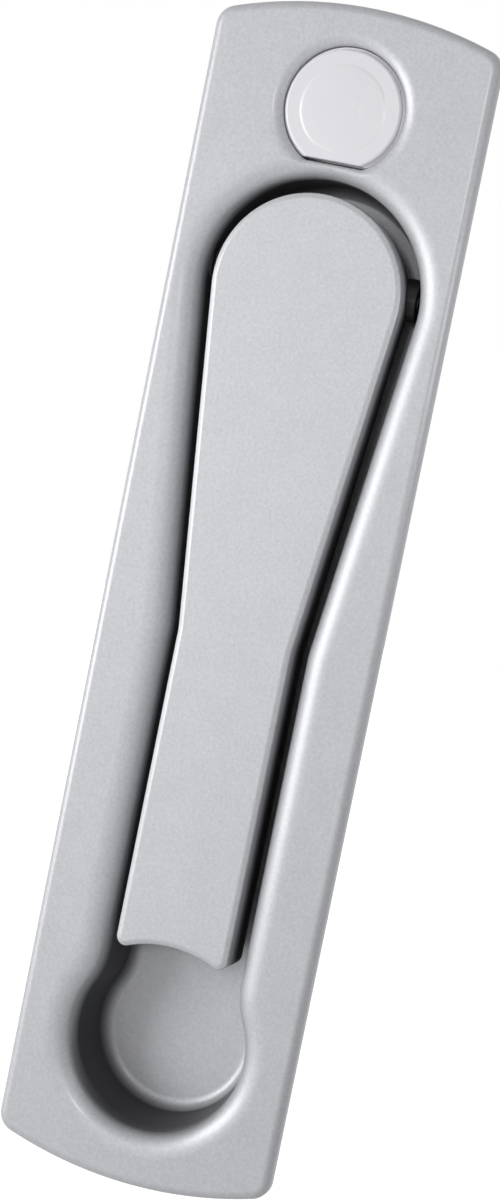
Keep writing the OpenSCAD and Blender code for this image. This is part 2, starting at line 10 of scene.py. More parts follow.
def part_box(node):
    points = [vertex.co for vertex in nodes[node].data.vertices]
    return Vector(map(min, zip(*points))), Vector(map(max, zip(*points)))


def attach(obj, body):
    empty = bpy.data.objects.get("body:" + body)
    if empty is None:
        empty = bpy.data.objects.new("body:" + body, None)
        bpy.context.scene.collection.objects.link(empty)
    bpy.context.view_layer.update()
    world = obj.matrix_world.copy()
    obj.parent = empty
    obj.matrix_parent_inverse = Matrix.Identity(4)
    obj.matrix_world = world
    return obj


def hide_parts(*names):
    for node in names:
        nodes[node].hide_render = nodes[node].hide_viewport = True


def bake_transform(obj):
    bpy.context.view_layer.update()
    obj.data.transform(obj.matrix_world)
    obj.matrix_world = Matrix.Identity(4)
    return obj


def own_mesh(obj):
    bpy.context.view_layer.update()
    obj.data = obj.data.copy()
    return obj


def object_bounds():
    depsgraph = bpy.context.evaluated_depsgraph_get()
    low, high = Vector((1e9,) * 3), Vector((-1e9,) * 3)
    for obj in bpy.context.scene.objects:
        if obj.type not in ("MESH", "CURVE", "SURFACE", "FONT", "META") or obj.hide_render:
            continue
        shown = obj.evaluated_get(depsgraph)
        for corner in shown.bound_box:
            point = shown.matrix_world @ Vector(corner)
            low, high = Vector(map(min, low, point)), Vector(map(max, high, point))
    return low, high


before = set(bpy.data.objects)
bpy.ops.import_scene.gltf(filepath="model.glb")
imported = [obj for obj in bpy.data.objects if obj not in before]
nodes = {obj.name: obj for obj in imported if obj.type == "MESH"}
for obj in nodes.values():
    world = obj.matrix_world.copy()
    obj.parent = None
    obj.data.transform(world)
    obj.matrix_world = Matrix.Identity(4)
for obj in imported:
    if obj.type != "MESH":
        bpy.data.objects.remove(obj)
cadLow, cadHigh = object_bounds()
print("frame loaded:", len(nodes), "nodes")

# plate terms, in millimetres: x across, y along towards the button, z out of the face
mm = 0.001
plateLow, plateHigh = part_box("face_plate")
faceY = plateLow.y
halfW = plateHigh.x / mm
halfL = plateHigh.z / mm

plateShape = {
    "cornerR": 3.0, "endR": 62.4, "edgeR": 1.3, "backEdgeR": 0.9,
    "flange": 3.2, "wall": 1.8, "land": 2.9,
    "depth": 12.5, "floorR": 1.8, "bendR": 5.6, "draft": 0.3,
    "shoulderR": 3.6, "shoulderH": 2.4, "steepDeg": 62, "mouthIn": 0.2,
    "dishInset": 21.25, "dishR": 13.2, "dishLean": 1.0, "leanFrom": 4.0, "leanRun": 12.0, "flareR": 12.0,
    # painted shade in the tub: its level on the face, how dark it gets with depth down the walls, and how it
    # fades round the floor's edge
    "paintedShadeFace": 0.05, "paintedShadeMost": 0.93, "paintedShadeFrom": 2.1, "paintedShadeLow": 2.0, "paintedShadeOver": 2.6,
    "paintedShadeReach": 30.0, "paintedShadeBlend": 10.0,
    "fadeTilt": 0.7, "fadeLit": 2.2, "fadeSpan": 1.6, "fadeHead": 0.25,
}
leverShape = {
    "gap": 2.6, "channelGap": 2.0, "headGrow": 0.15, "gripHalf": 8.5,
    "taperL": 50.3, "taperR": 12.0, "tailReach": 14.3, "tailR": 16.5,
    "cornerR": 1.4, "proud": 0.6, "topT": 1.8, "skirt": 7.4, "skirtT": 1.8, "footR": 0.35,
    "edgeTiltDeg": 27, "creaseR": 0.6, "bandW": 0.4, "edgeR": 0.35,
    "insideCorner": 0.3, "insideFillet": 0.6, "filletMost": 0.4,
    "noseT": 2.2, "reliefBack": 1.0, "rootIn": 0.4,
    "ribT": 2.4, "ribEdge": 0.3, "ribOver": 0.9, "ribFromTail": 16.2, "ribFromTaper": 11.0,
    "lugInset": 1.4, "lugW": 3.8, "lugR": 3.2, "lugEdge": 0.25, "lugBore": 2.37, "notchR": 3.35,
    # painted shade on the sides, darker with depth in the gap, and a mid painted shade inside
    "paintedShadeFrom": 1.8, "paintedShadeOver": 2.6, "paintedShadeMost": 0.95, "paintedShadeInside": 0.3,
}
pinShape = {
    "ahead": 1.7, "depth": 6.5, "bossR": 2.4, "bossEdge": 0.4, "bossStand": 1.1, "bossL": 2.8, "bore": 1.52,
}
buttonShape = {
    "inset": 14.55, "holeR": 8.9, "flat": 7.8, "cornerR": 1.1, "cornerIn": 0.2,
    "rimR": 3.0, "rimW": 1.9, "ridgeBlend": 0.8, "lipR": 0.2, "lipDrop": 0.14,
    "gap": 0.5, "play": 0.3, "sunk": 0.2, "edgeR": 0.4,
    "ledge": 0.14, "ledgeZ": 1.3, "ledgeFlat": 0.02, "ledgeFall": 0.05, "skirtFall": 0.1,
    "discR": 5.8, "discH": 0.1, "stepW": 0.6, "crown": 0.2,
    "back": 9.0, "flangeT": 1.0, "flangeR": 9.7, "rearEdge": 0.2,
    "pocketR": 2.1, "springY": 5.0, "slotX": 0.98, "slotW": 5.04, "slotT": 4.04,
}

# places that follow from those sizes
buttonY = halfL - buttonShape["inset"]
tubOut = plateShape["wall"] + leverShape["gap"]
headR = halfW - plateShape["land"] - tubOut
headY = buttonY - buttonShape["flat"] - tubOut - headR
pinY = headY + pinShape["ahead"]
taperEndY = headY - leverShape["taperL"]
dishY = plateShape["dishInset"] - halfL
tailY = dishY + leverShape["tailReach"]

# steps along each arc, and across each rounding
smooth = {
    "head": 64, "bend": 10, "flare": 12, "dish": 48, "tail": 24, "corner": 8, "end": 40,
    "turned": 40, "lug": 48, "disc": 12, "step": 8, "cap": 8,
    "round": 12, "edge": 4, "fillet": 5, "fall": 6, "front": 9, "rim": 8, "lip": 6,
}
support = 0.06  # width of the narrow strip that keeps flat faces flat beside a rounding
roundIn = 0.3  # where the middle point of a three-point rounding lies, as a share of its radius


def toRow(p):
    return Vector((p[0] * mm, faceY - p[2] * mm, p[1] * mm))


def arc(cx, cy, r, start, end, steps):
    turn = [math.radians(start + (end - start) * i / steps) for i in range(steps + 1)]
    return [(cx + r * math.cos(a), cy + r * math.sin(a)) for a in turn]


def mirrored(half):
    return half + [(-x, y) for x, y in reversed(half[1:-1])]


def lifted(outline, z):
    return [(x, y, z) for x, y in outline]


# outlines, each d millimetres outside its own edge
grip = leverShape["gripHalf"]
channel = grip + leverShape["channelGap"]
leverR = headR + leverShape["headGrow"]
mouthR = headR + leverShape["gap"] - plateShape["mouthIn"]


# half of a head of radius r that tapers to half width w
def sideOutline(r, w, d):
    taperR = leverShape["taperR"]
    turn = math.acos(r / math.hypot(w, leverShape["taperL"])) - math.atan2(leverShape["taperL"], w)
    cx = w + taperR
    cy = (headY * math.sin(turn) + r + taperR - cx * math.cos(turn)) / math.sin(turn)
    turnDeg = math.degrees(turn)
    head = arc(0, headY, r + d, 90, turnDeg, smooth["head"])
    bend = arc(cx, cy, taperR - d, 180 + turnDeg, 180, smooth["bend"])
    return head + bend


def leverOutline(d, corner):
    tailCy = tailY - leverShape["tailR"]
    tailR = leverShape["tailR"] - d
    cornerX = grip + d - corner
    cornerY = tailCy + math.sqrt((tailR + corner) ** 2 - cornerX ** 2)
    toTail = math.degrees(math.atan2(tailCy - cornerY, -cornerX))
    rounded = arc(cornerX, cornerY, corner, 0, toTail, smooth["corner"])
    meetA = math.degrees(math.atan2(cornerY - tailCy, cornerX))
    hollow = arc(0, tailCy, tailR, meetA, 90, smooth["tail"])
    return mirrored(sideOutline(leverR, grip, d) + rounded + hollow[1:])


flareCx = channel + plateShape["flareR"]
flareCy = dishY + math.sqrt((plateShape["dishR"] + plateShape["flareR"]) ** 2 - flareCx ** 2)
flareA = math.degrees(math.atan2(flareCy - dishY, flareCx))


def tubOutline(d):
    flare = arc(flareCx, flareCy, plateShape["flareR"] - d, 180, 180 + flareA, smooth["flare"])
    dish = arc(0, dishY, plateShape["dishR"] + d, flareA, -90, smooth["dish"])
    return mirrored(sideOutline(mouthR, channel, d) + flare + dish[1:])


# outline near the tub's floor: the dish's part lies further in, from the tail on
def footOutline(d):
    p = plateShape
    ring = []
    for (x, y), (x2, y2) in zip(tubOutline(d), tubOutline(d - p["dishLean"])):
        t = min(max((tailY + p["leanFrom"] - y) / p["leanRun"], 0.0), 1.0)
        w = t * t * (3 - 2 * t)
        ring.append((x * (1 - w) + x2 * w, y * (1 - w) + y2 * w))
    return ring


def plateOutline(d):
    endCy = halfL - plateShape["endR"]
    cornerX = halfW - plateShape["cornerR"]
    cornerY = endCy + math.sqrt((plateShape["endR"] - plateShape["cornerR"]) ** 2 - cornerX ** 2)
    cornerA = math.degrees(math.atan2(cornerY - endCy, cornerX))
    quarter = (arc(0, endCy, plateShape["endR"] + d, 90, cornerA, smooth["end"])
               + arc(cornerX, cornerY, plateShape["cornerR"] + d, cornerA, 0, smooth["corner"])[1:])
    return mirrored(quarter + [(x, -y) for x, y in reversed(quarter)])


def flattedOutline(r, flat, corner):
    cornerX = math.sqrt((r - corner) ** 2 - (flat - corner) ** 2)
    cornerA = math.degrees(math.atan2(corner - flat, cornerX))
    half = (arc(0, 0, r, 90, cornerA, smooth["head"])
            + arc(cornerX, corner - flat, corner, cornerA, -90, smooth["corner"])[1:] + [(0, -flat)])
    return [(x, y + buttonY) for x, y in mirrored(half)]


def holeOutline(d):
    b = buttonShape
    return flattedOutline(b["holeR"] + d, b["flat"] + d, b["cornerR"] + d)


# ring of vertices; shade is one value of the painted shade for the ring, or a function of the point
def addRing(bm, points, shade=0.0):
    ring = [bm.verts.new(toRow(p)) for p in points]
    layer = bm.verts.layers.float.get("paintedShade")
    if layer:
        for v, p in zip(ring, points):
            v[layer] = shade(p) if callable(shade) else shade
    return ring


def bridge(bm, a, b):
    n = len(a)
    for i in range(n):
        j = (i + 1) % n
        bm.faces.new((a[i], a[j], b[j], b[i]))


def loft(bm, rings, shades=None):
    made = [addRing(bm, r, shade) for r, shade in zip(rings, shades or [0.0] * len(rings))]
    for a, b in zip(made, made[1:]):
        bridge(bm, a, b)
    return made


def closedLoft(bm, rings, shades=None):
    made = loft(bm, rings, shades)
    bm.faces.new(made[0])
    bm.faces.new(made[-1])


def isInside(points, loop):
    x, y = points[:, 0:1], points[:, 1:2]
    a = np.array(loop)
    b = np.roll(a, -1, axis=0)
    rise = np.where(b[:, 1] == a[:, 1], 1e-12, b[:, 1] - a[:, 1])
    crossing = ((a[:, 1] > y) != (b[:, 1] > y)) & (x < (b[:, 0] - a[:, 0]) * (y - a[:, 1]) / rise + a[:, 0])
    return crossing.sum(axis=1) % 2 == 1


# fills the face between an outer loop of vertices and the holes in it, through the extra points
def fillBetween(bm, outer, holes, extra=()):
    loops = [outer] + holes
    verts = [v for loop in loops for v in loop] + list(extra)
    flat = [Vector((v.co.x / mm, v.co.z / mm)) for v in verts]
    edges, first = [], 0
    for loop in loops:
        n = len(loop)
        edges += [(first + i, first + (i + 1) % n) for i in range(n)]
        first += n
    _, _, tris, origin, _, _ = delaunay_2d_cdt(flat, edges, [], 0, 1e-7)
    tris = [[origin[i][0] for i in t] for t in tris]
    centres = np.array([[sum(flat[i][k] for i in t) / 3 for k in (0, 1)] for t in tris])
    keep = isInside(centres, [tuple(flat[i]) for i in range(len(outer))])
    first = len(outer)
    for loop in holes:
        keep &= ~isInside(centres, [tuple(flat[first + i]) for i in range(len(loop))])
        first += len(loop)
    for t, wanted in zip(tris, keep):
        if wanted:
            bm.faces.new([verts[i] for i in t])


# turned piece: profile of (radius, height) pairs about an axis that leaves base along direction
def turned(base, direction, profile):
    steps = smooth["turned"]
    axis = Vector(direction).normalized()
    side = axis.orthogonal().normalized()
    other = axis.cross(side)
    rings = []
    for r, h in profile:
        turn = [2 * math.pi * i / steps for i in range(steps)]
        rings.append([tuple(Vector(base) + axis * h + (side * math.cos(a) + other * math.sin(a)) * r)
                      for a in turn])
    return rings


# round wire along a path of points
def wire(bm, path, r, sides=12):
    path = [Vector(p) for p in path]
    rings = []
    normal = (path[1] - path[0]).orthogonal().normalized()
    for i, p in enumerate(path):
        ahead = (path[min(i + 1, len(path) - 1)] - path[max(i - 1, 0)]).normalized()
        normal = (normal - ahead * normal.dot(ahead)).normalized()
        across = ahead.cross(normal)
        turn = [2 * math.pi * k / sides for k in range(sides)]
        rings.append([tuple(p + (normal * math.cos(a) + across * math.sin(a)) * r) for a in turn])
    closedLoft(bm, rings)


def finished(bm, name, material, body, replaced, sharpDeg=38):
    bmesh.ops.recalc_face_normals(bm, faces=bm.faces)
    mesh = bpy.data.meshes.new(name)
    bm.to_mesh(mesh)
    bm.free()
    mesh.polygons.foreach_set("use_smooth", [True] * len(mesh.polygons))
    mesh.set_sharp_from_angle(angle=math.radians(sharpDeg))
    mesh.materials.append(material)
    piece = bpy.data.objects.new(name, mesh)
    bpy.context.scene.collection.objects.link(piece)
    if body:
        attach(piece, body)
    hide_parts(replaced)
    print("made", name, len(mesh.polygons), "faces")
    return piece


# material with its node tree and its Principled shader
def newMaterial(name):
    material = bpy.data.materials.new(name)
    material.use_nodes = True
    tree = material.node_tree
    return material, tree, tree.nodes["Principled BSDF"]


def addNode(tree, kind, inputs=None, **fields):
    node = tree.nodes.new(kind)
    for key, value in fields.items():
        setattr(node, key, value)
    for key, value in (inputs or {}).items():
        node.inputs[key].default_value = value
    return node


def newGroup(name, inputs, outputs):
    tree = bpy.data.node_groups.new(name, "ShaderNodeTree")
    for label, kind, value in inputs:
        socket = tree.interface.new_socket(label, in_out="INPUT", socket_type=kind)
        socket.default_value = value
    for label, kind in outputs:
        tree.interface.new_socket(label, in_out="OUTPUT", socket_type=kind)
    return tree, tree.nodes.new("NodeGroupInput"), tree.nodes.new("NodeGroupOutput")


def useGroup(tree, group, values):
    node = tree.nodes.new("ShaderNodeGroup")
    node.node_tree = group
    for key, value in values.items():
        node.inputs[key].default_value = value
    return node


# shared effect: two tones mixed by soft noise, with a finer speckle over them
def makeMottle():
    tree, given, out = newGroup("mottle", [
        ("Tone A", "NodeSocketColor", (0.5, 0.5, 0.5, 1)), ("Tone B", "NodeSocketColor", (0.6, 0.6, 0.6, 1)),
        ("Scale", "NodeSocketFloat", 200.0), ("Speckle Scale", "NodeSocketFloat", 4000.0),
        ("Speckle", "NodeSocketFloat", 0.1), ("Stretch", "NodeSocketVector", (1, 1, 1)),
    ], [("Color", "NodeSocketColor"), ("Value", "NodeSocketFloat")])
    link = tree.links.new
    place = addNode(tree, "ShaderNodeTexCoord")
    stretch = addNode(tree, "ShaderNodeMapping")
    link(place.outputs["Object"], stretch.inputs["Vector"])
    link(given.outputs["Stretch"], stretch.inputs["Scale"])
    cloud = addNode(tree, "ShaderNodeTexNoise", {"Detail": 4.0, "Roughness": 0.6})
    speck = addNode(tree, "ShaderNodeTexNoise", {"Detail": 2.0, "Roughness": 0.7})
    for noise, scale in ((cloud, "Scale"), (speck, "Speckle Scale")):
        link(stretch.outputs["Vector"], noise.inputs["Vector"])
        link(given.outputs[scale], noise.inputs["Scale"])
    blend = addNode(tree, "ShaderNodeMix", data_type="FLOAT")
    link(given.outputs["Speckle"], blend.inputs["Factor"])
    link(cloud.outputs["Fac"], blend.inputs[2])
    link(speck.outputs["Fac"], blend.inputs[3])
    spread = addNode(tree, "ShaderNodeMapRange", {"From Min": 0.3, "From Max": 0.7})
    link(blend.outputs[0], spread.inputs["Value"])
    tone = addNode(tree, "ShaderNodeMix", data_type="RGBA")
    link(spread.outputs["Result"], tone.inputs["Factor"])
    link(given.outputs["Tone A"], tone.inputs[6])
    link(given.outputs["Tone B"], tone.inputs[7])
    link(tone.outputs[2], out.inputs["Color"])
    link(spread.outputs["Result"], out.inputs["Value"])
    return tree


# shared effect: mask that is 1 along sharp edges, broken up by noise
def makeEdgeWear():
    tree, given, out = newGroup("edgeWear", [
        ("Radius", "NodeSocketFloat", 0.0002), ("Break Scale", "NodeSocketFloat", 900.0),
        ("Amount", "NodeSocketFloat", 0.6),
    ], [("Mask", "NodeSocketFloat")])
    link = tree.links.new
    rounded = addNode(tree, "ShaderNodeBevel", samples=4)
    link(given.outputs["Radius"], rounded.inputs["Radius"])
    plain = addNode(tree, "ShaderNodeNewGeometry")
    alike = addNode(tree, "ShaderNodeVectorMath", operation="DOT_PRODUCT")
    link(rounded.outputs["Normal"], alike.inputs[0])
    link(plain.outputs["Normal"], alike.inputs[1])
    edge = addNode(tree, "ShaderNodeMapRange", {"From Min": 0.995, "From Max": 0.9})
    link(alike.outputs["Value"], edge.inputs["Value"])
    place = addNode(tree, "ShaderNodeTexCoord")
    noise = addNode(tree, "ShaderNodeTexNoise", {"Detail": 3.0})
    link(place.outputs["Object"], noise.inputs["Vector"])
    link(given.outputs["Break Scale"], noise.inputs["Scale"])
    patch = addNode(tree, "ShaderNodeMapRange", {"From Min": 0.35, "From Max": 0.65})
    link(noise.outputs["Fac"], patch.inputs["Value"])
    both = addNode(tree, "ShaderNodeMath", operation="MULTIPLY")
    link(edge.outputs["Result"], both.inputs[0])
    link(patch.outputs["Result"], both.inputs[1])
    scaled = addNode(tree, "ShaderNodeMath", operation="MULTIPLY")
    link(both.outputs["Value"], scaled.inputs[0])
    link(given.outputs["Amount"], scaled.inputs[1])
    link(scaled.outputs["Value"], out.inputs["Mask"])
    return tree


# shared effect: fine relief of a sprayed, moulded or rolled skin
def makeSkinRelief():
    tree, given, out = newGroup("skinRelief", [
        ("Scale", "NodeSocketFloat", 3000.0), ("Wave Scale", "NodeSocketFloat", 300.0),
        ("Wave", "NodeSocketFloat", 0.3), ("Stretch", "NodeSocketVector", (1, 1, 1)),
    ], [("Height", "NodeSocketFloat")])
    link = tree.links.new
    place = addNode(tree, "ShaderNodeTexCoord")
    stretch = addNode(tree, "ShaderNodeMapping")
    link(place.outputs["Object"], stretch.inputs["Vector"])
    link(given.outputs["Stretch"], stretch.inputs["Scale"])
    fine = addNode(tree, "ShaderNodeTexNoise", {"Detail": 3.0, "Roughness": 0.65})
    wave = addNode(tree, "ShaderNodeTexNoise", {"Detail": 1.0})
    for noise, scale in ((fine, "Scale"), (wave, "Wave Scale")):
        link(stretch.outputs["Vector"], noise.inputs["Vector"])
        link(given.outputs[scale], noise.inputs["Scale"])
    blend = addNode(tree, "ShaderNodeMix", data_type="FLOAT")
    link(given.outputs["Wave"], blend.inputs["Factor"])
    link(fine.outputs["Fac"], blend.inputs[2])
    link(wave.outputs["Fac"], blend.inputs[3])
    link(blend.outputs[0], out.inputs["Height"])
    return tree


mottle = makeMottle()
edgeWear = makeEdgeWear()
skinRelief = makeSkinRelief()


# neutral tone that leans to blue
def grey(value, blue=0.0):
    return (value - blue / 3, value, value + blue * 1.3, 1)


# one finish: two tones, worn edges, painted shade where a tone for it is given, relief, and roughness that
# follows the mottle
def makeFinish(name, f):
    material, tree, shader = newMaterial(name)
    link = tree.links.new
    tones = useGroup(tree, mottle, {
        "Tone A": f["toneA"], "Tone B": f["toneB"], "Scale": f["mottleScale"],
        "Speckle Scale": f["speckleScale"], "Speckle": f["speckle"], "Stretch": f.get("stretch", (1, 1, 1))})
    colour = tones.outputs["Color"]
    if f.get("wear"):
        worn = useGroup(tree, edgeWear, {"Radius": f["wearRadius"], "Amount": f["wear"]})
        mixed = addNode(tree, "ShaderNodeMix", data_type="RGBA")
        mixed.inputs[7].default_value = f["wearTone"]
        link(worn.outputs["Mask"], mixed.inputs["Factor"])
        link(colour, mixed.inputs[6])
        colour = mixed.outputs[2]
    # painted shade: a near-black tone mixed in by a per-vertex attribute, standing in for shadow in the gaps
    # and recesses
    if f.get("paintedShadeTone"):
        shadeMask = addNode(tree, "ShaderNodeAttribute", attribute_name="paintedShade")
        shadedTone = addNode(tree, "ShaderNodeMix", data_type="RGBA")
        shadedTone.inputs[7].default_value = f["paintedShadeTone"]
        link(shadeMask.outputs["Fac"], shadedTone.inputs["Factor"])
        link(colour, shadedTone.inputs[6])
        colour = shadedTone.outputs[2]
        # where shade is painted, flakes and gloss fade out with it
        for socket, full, shadeEnd in (("Metallic", f["metallic"], 1.0),
                                   ("Coat Weight", f["coat"], f["coatShadeEnd"])):
            fade = addNode(tree, "ShaderNodeMapRange", {"From Max": shadeEnd, "To Min": full, "To Max": 0.0})
            link(shadeMask.outputs["Fac"], fade.inputs["Value"])
            link(fade.outputs["Result"], shader.inputs[socket])
    link(colour, shader.inputs["Base Color"])
    rough = addNode(tree, "ShaderNodeMapRange", {"To Min": f["roughness"][0], "To Max": f["roughness"][1]})
    link(tones.outputs["Value"], rough.inputs["Value"])
    link(rough.outputs["Result"], shader.inputs["Roughness"])
    relief = useGroup(tree, skinRelief, {
        "Scale": f["reliefScale"], "Wave Scale": f["waveScale"], "Wave": f["wave"],
        "Stretch": f.get("stretch", (1, 1, 1))})
    bump = addNode(tree, "ShaderNodeBump", {"Strength": f["bump"], "Distance": f["bumpHeight"]})
    link(relief.outputs["Height"], bump.inputs["Height"])
    link(bump.outputs["Normal"], shader.inputs["Normal"])
    shader.inputs["Metallic"].default_value = f["metallic"]
    shader.inputs["Specular IOR Level"].default_value = f.get("specular", 0.5)
    shader.inputs["Coat Weight"].default_value = f.get("coat", 0.0)
    shader.inputs["Coat Roughness"].default_value = f.get("coatRoughness", 0.3)
    return material


finishes = {
    "silverPaint": {
        "toneA": grey(0.515, 0.02), "toneB": grey(0.63, 0.02), "mottleScale": 160, "speckleScale": 2200,
        "speckle": 0.8, "roughness": (0.42, 0.52), "metallic": 0.3, "specular": 0.2,
        "coat": 0.22, "coatRoughness": 0.14, "coatShadeEnd": 0.5,
        "reliefScale": 4600, "waveScale": 420, "wave": 0.35, "bump": 0.12, "bumpHeight": 0.00004,
        "wear": 0.25, "wearRadius": 0.00025, "wearTone": grey(0.72, 0.01),
        # near-black tone of the painted shade in the tub and the gaps
        "paintedShadeTone": grey(0.015, 0.001)},
    "whitePlastic": {
        "toneA": (0.92, 0.91, 0.95, 1), "toneB": (0.95, 0.94, 0.98, 1),
        "mottleScale": 120, "speckleScale": 2600, "speckle": 0.35,
        "roughness": (0.22, 0.3), "metallic": 0.0, "specular": 0.45,
        "reliefScale": 3200, "waveScale": 260, "wave": 0.4, "bump": 0.06, "bumpHeight": 0.00003,
        "wear": 0.15, "wearRadius": 0.0002, "wearTone": grey(0.8, 0.02)},
    "zincPlate": {
        "toneA": (0.42, 0.44, 0.46, 1), "toneB": (0.54, 0.53, 0.5, 1),
        "mottleScale": 260, "speckleScale": 3000, "speckle": 0.4, "stretch": (0.15, 1, 1),
        "roughness": (0.26, 0.44), "metallic": 1.0,
        "reliefScale": 2600, "waveScale": 300, "wave": 0.3, "bump": 0.12, "bumpHeight": 0.00004,
        "wear": 0.6, "wearRadius": 0.0003, "wearTone": (0.64, 0.64, 0.63, 1)},
    "brightSteel": {
        "toneA": grey(0.42, 0.01), "toneB": grey(0.54, 0.01), "mottleScale": 420, "speckleScale": 5000,
        "speckle": 0.5, "stretch": (0.1, 1, 1), "roughness": (0.2, 0.34), "metallic": 1.0,
        "reliefScale": 5000, "waveScale": 600, "wave": 0.2, "bump": 0.1, "bumpHeight": 0.00003,
        "wear": 0.5, "wearRadius": 0.0002, "wearTone": grey(0.62)},
    "springWire": {
        "toneA": grey(0.34, 0.006), "toneB": grey(0.46, 0.004), "mottleScale": 700, "speckleScale": 5200,
        "speckle": 0.5, "roughness": (0.24, 0.38), "metallic": 1.0,
        "reliefScale": 6000, "waveScale": 900, "wave": 0.3, "bump": 0.1, "bumpHeight": 0.00002},
    "blackRubber": {
        "toneA": grey(0.022), "toneB": grey(0.04), "mottleScale": 240, "speckleScale": 2600,
        "speckle": 0.5, "roughness": (0.62, 0.8), "metallic": 0.0, "specular": 0.35,
        "reliefScale": 2800, "waveScale": 200, "wave": 0.3, "bump": 0.3, "bumpHeight": 0.00006,
        "wear": 0.4, "wearRadius": 0.0002, "wearTone": grey(0.075)},
    "blackAcetal": {
        "toneA": grey(0.024), "toneB": grey(0.036), "mottleScale": 300, "speckleScale": 3600,
        "speckle": 0.4, "roughness": (0.36, 0.48), "metallic": 0.0, "specular": 0.25,
        "reliefScale": 3400, "waveScale": 300, "wave": 0.4, "bump": 0.08, "bumpHeight": 0.00003,
        "wear": 0.35, "wearRadius": 0.00015, "wearTone": grey(0.08)},
}
looks = {name: makeFinish(name, f) for name, f in finishes.items()}
print("finishes made:", len(looks))


def quarterSteps(count):
    return [math.pi / 2 * k / count for k in range(count + 1)]


# height of the front beside the tub and the button hole: two rollings that meet in a ridge
def frontHeight(tubGap, holeGap):
    shoulderR, rimR = plateShape["shoulderR"], buttonShape["rimR"]
    s = max(shoulderR - tubGap, 0.0)
    h = max(buttonShape["rimW"] - holeGap, 0.0)
    a = plateShape["shoulderH"] * (math.sqrt(max(1 - (s / shoulderR) ** 2, 0.0)) - 1)
    b = math.sqrt(max(rimR ** 2 - h ** 2, 0.0)) - rimR
    reach = buttonShape["ridgeBlend"] * min(-a, -b)
    near = max(reach - abs(a - b), 0.0) / reach if reach > 1e-9 else 0.0
    return min(a, b) - near ** 2 * reach / 4


def gapToHole(x, y):
    b = buttonShape
    x, y = abs(x), y - buttonY
    cornerX = math.sqrt((b["holeR"] - b["cornerR"]) ** 2 - (b["flat"] - b["cornerR"]) ** 2)
    cornerY = b["cornerR"] - b["flat"]
    if x <= cornerX and y <= cornerY:
        return -y - b["flat"]
    turn = math.atan2(y - cornerY, x - cornerX)
    if -math.pi / 2 <= turn <= math.atan2(cornerY, cornerX):
        return math.hypot(x - cornerX, y - cornerY) - b["cornerR"]
    return math.hypot(x, y) - b["holeR"]


def gapToHead(x, y):
    return math.hypot(x, y - headY) - mouthR


